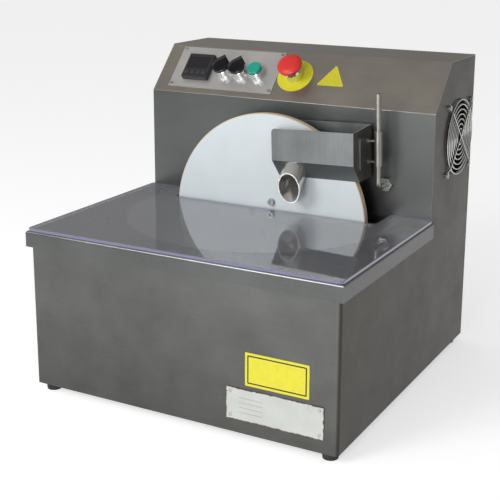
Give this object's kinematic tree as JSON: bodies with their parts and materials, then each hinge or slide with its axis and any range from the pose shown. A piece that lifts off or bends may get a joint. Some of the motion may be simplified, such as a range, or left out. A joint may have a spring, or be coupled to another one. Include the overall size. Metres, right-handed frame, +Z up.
{
  "type": "chocolate tempering machine",
  "caption": "Tabletop chocolate tempering machine: steel tank box with clear lid, vertical wheel with scraper box and spout, and a rear tower with slanted controls.",
  "frame": {"origin": "on the table under the middle of the base box", "axes": "+X to the right seen from the front, +Y to the back, +Z up"},
  "size_m": [0.5044, 0.513, 0.4835],
  "materials": {
    "housing_steel": "brushed stainless sheet, satin",
    "tower_steel": "brushed stainless sheet, satin",
    "tank_steel": "polished stainless sheet with bright rim",
    "scraper_steel": "stainless sheet with vertical brushing",
    "rod_steel": "ground bar",
    "hardware_steel": "zinc-bright fasteners",
    "shaft_steel": "ground shaft and machined hub",
    "polished_spout": "polished tube",
    "bezel_chrome": "bright plated",
    "clear_lid": "clear acrylic sheet, violet-blue edge",
    "wheel_white": "smooth white food-grade plastic",
    "wiper_white": "white food-grade plastic",
    "controller_black": "black moulded case",
    "screen_dark": "dark window",
    "key_grey": "moulded keys",
    "knob_black": "moulded handle",
    "button_green": "moulded cap",
    "estop_red": "moulded mushroom cap",
    "estop_yellow": "printed plastic ring",
    "plate_aluminium": "satin plate",
    "guard_wire": "bright wire",
    "fan_black": "moulded",
    "feet_rubber": "moulded",
    "inlet_black": "moulded",
    "machine_grey": "painted casting and motor",
    "seal_rubber": "lip seal",
    "block_black": "moulded contact blocks",
    "part_grey": "moulded switchgear",
    "heater_aluminium": "cast disc",
    "probe_brass": "turned fitting"
  },
  "bodies": {
    "base": {"base_housing": "housing_steel", "bottom_plate": "housing_steel", "rubber_feet": "feet_rubber", "foot_screws": "hardware_steel", "tower_cover": "tower_steel", "rear_cover": "tower_steel", "cover_screws": "hardware_steel", "power_inlet": "inlet_black", "tank_deck": "tank_steel", "tank_bowl": "tank_steel", "control_plate": "plate_aluminium", "plate_screws": "hardware_steel", "temperature_controller": "controller_black", "controller_screen": "screen_dark", "selector_bezel_left": "bezel_chrome", "selector_bezel_right": "bezel_chrome", "start_bezel": "bezel_chrome", "estop_ring": "estop_yellow", "estop_collar": "bezel_chrome", "contact_blocks": "block_black", "fan_frame": "fan_black", "fan_guard": "guard_wire", "fan_screws": "hardware_steel", "shaft_bush": "wiper_white", "shaft_seal": "seal_rubber", "bush_nut": "hardware_steel", "gearbox": "machine_grey", "gearbox_spacers": "hardware_steel", "drive_motor": "machine_grey", "support_rod": "rod_steel", "rod_nut": "hardware_steel", "rod_locknut": "hardware_steel", "bowl_heater": "heater_aluminium", "temperature_probe": "probe_brass", "din_rail": "hardware_steel", "contactor": "part_grey", "terminal_strip": "part_grey"},
    "wheel": {"tempering_wheel": "wheel_white", "wheel_hub": "shaft_steel", "wheel_screws": "hardware_steel", "drive_shaft": "shaft_steel"},
    "lid": {"lid": "clear_lid"},
    "scraper": {"scraper_box": "scraper_steel", "scraper_spout": "polished_spout", "wiper_blades": "wiper_white", "clamp_plate": "scraper_steel", "clamp_studs": "hardware_steel", "stud_nuts": "hardware_steel", "rod_sleeve": "rod_steel", "sleeve_screw": "hardware_steel"},
    "fan": {"fan_rotor": "fan_black"},
    "estop_slider": {"estop_stem": "knob_black"},
    "estop_cap": {"estop_head": "estop_red"},
    "start": {"start_button": "button_green"},
    "selector_left": {"selector_knob_left": "knob_black"},
    "selector_right": {"selector_knob_right": "knob_black"},
    "key_1": {"controller_key_1": "key_grey"},
    "key_2": {"controller_key_2": "key_grey"},
    "key_3": {"controller_key_3": "key_grey"},
    "key_4": {"controller_key_4": "key_grey"}
  },
  "joints": [
    {"name": "wheel_spin", "type": "hinge", "parent": "base", "child": "wheel", "pos_m": [0, 0.0232, 0.2365], "axis": [0, -1, 0], "continuous": true},
    {"name": "lid_slide", "type": "slide", "parent": "base", "child": "lid", "axis": [0, -1, 0], "range_m": [0, 0.15]},
    {"name": "scraper_lift", "type": "slide", "parent": "base", "child": "scraper", "axis": [-0.0332, 0, 0.9995], "range_m": [0, 0.055]},
    {"name": "fan_spin", "type": "hinge", "parent": "base", "child": "fan", "pos_m": [0.226, 0.1846, 0.3612], "axis": [1, 0, 0], "continuous": true},
    {"name": "estop_push", "type": "slide", "parent": "base", "child": "estop_slider", "axis": [0, 0.7254, -0.6884], "range_m": [0, 0.005]},
    {"name": "estop_twist", "type": "hinge", "parent": "estop_slider", "child": "estop_cap", "pos_m": [0.0005, 0.09272, 0.46181], "axis": [0, -0.7254, 0.6884], "range_deg": [0, 45], "stiffness_Nm_per_rad": 0.02, "springref_deg": -11.46},
    {"name": "start_press", "type": "slide", "parent": "base", "child": "start", "axis": [0, 0.7254, -0.6884], "range_m": [0, 0.004], "stiffness_N_per_m": 600, "springref_m": -0.002},
    {"name": "selector_left_turn", "type": "hinge", "parent": "base", "child": "selector_left", "pos_m": [-0.1295, 0.09134, 0.46036], "axis": [0, -0.7254, 0.6884], "range_deg": [0, 90]},
    {"name": "selector_right_turn", "type": "hinge", "parent": "base", "child": "selector_right", "pos_m": [-0.0995, 0.09134, 0.46036], "axis": [0, -0.7254, 0.6884], "range_deg": [0, 90]},
    {"name": "key_1_press", "type": "slide", "parent": "base", "child": "key_1", "axis": [0, 0.7254, -0.6884], "range_m": [0, 0.0008], "stiffness_N_per_m": 500, "springref_m": -0.0005},
    {"name": "key_2_press", "type": "slide", "parent": "base", "child": "key_2", "axis": [0, 0.7254, -0.6884], "range_m": [0, 0.0008], "stiffness_N_per_m": 500, "springref_m": -0.0005},
    {"name": "key_3_press", "type": "slide", "parent": "base", "child": "key_3", "axis": [0, 0.7254, -0.6884], "range_m": [0, 0.0008], "stiffness_N_per_m": 500, "springref_m": -0.0005},
    {"name": "key_4_press", "type": "slide", "parent": "base", "child": "key_4", "axis": [0, 0.7254, -0.6884], "range_m": [0, 0.0008], "stiffness_N_per_m": 500, "springref_m": -0.0005}
  ]
}
